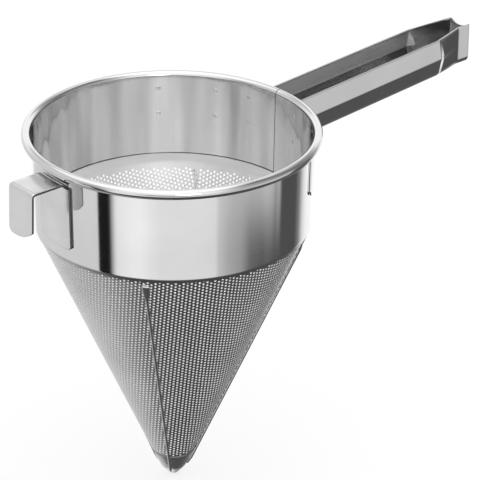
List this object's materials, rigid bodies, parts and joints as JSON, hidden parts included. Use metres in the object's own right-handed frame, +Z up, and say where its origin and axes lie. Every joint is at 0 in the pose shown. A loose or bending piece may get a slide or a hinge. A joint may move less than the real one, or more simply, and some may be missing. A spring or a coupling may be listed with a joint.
{
  "type": "chinois strainer",
  "caption": "Fine conical kitchen strainer in polished steel, with a rolled rim, channel handle, pan hook and support rods down a perforated cone.",
  "frame": {"origin": "on the cone's axis, at the lower edge of the collar, which is where a stand's ring takes it", "axes": "+Z up out of the mouth, -Z down the cone to its tip, +X out along the handle, +Y to the left of the handle"},
  "size_m": [0.4173, 0.2032, 0.2843],
  "materials": {
    "collar_steel": "polished stainless steel",
    "wire_steel": "polished stainless steel",
    "cone_steel": "polished stainless steel sheet with fine staggered perforation",
    "cap_steel": "polished stainless steel",
    "rod_steel": "polished stainless steel",
    "handle_steel": "polished stainless steel",
    "hook_steel": "polished stainless steel",
    "weld_steel": "polished stainless steel"
  },
  "bodies": {
    "root": {"collar_band": "collar_steel", "rim_wire": "wire_steel", "perforated_cone": "cone_steel", "tip_cap": "cap_steel", "support_rod_1": "rod_steel", "support_rod_2": "rod_steel", "support_rod_3": "rod_steel", "support_rod_4": "rod_steel", "handle": "handle_steel", "pan_hook": "hook_steel", "handle_spot_welds": "weld_steel", "hook_spot_welds": "weld_steel"}
  },
  "joints": []
}
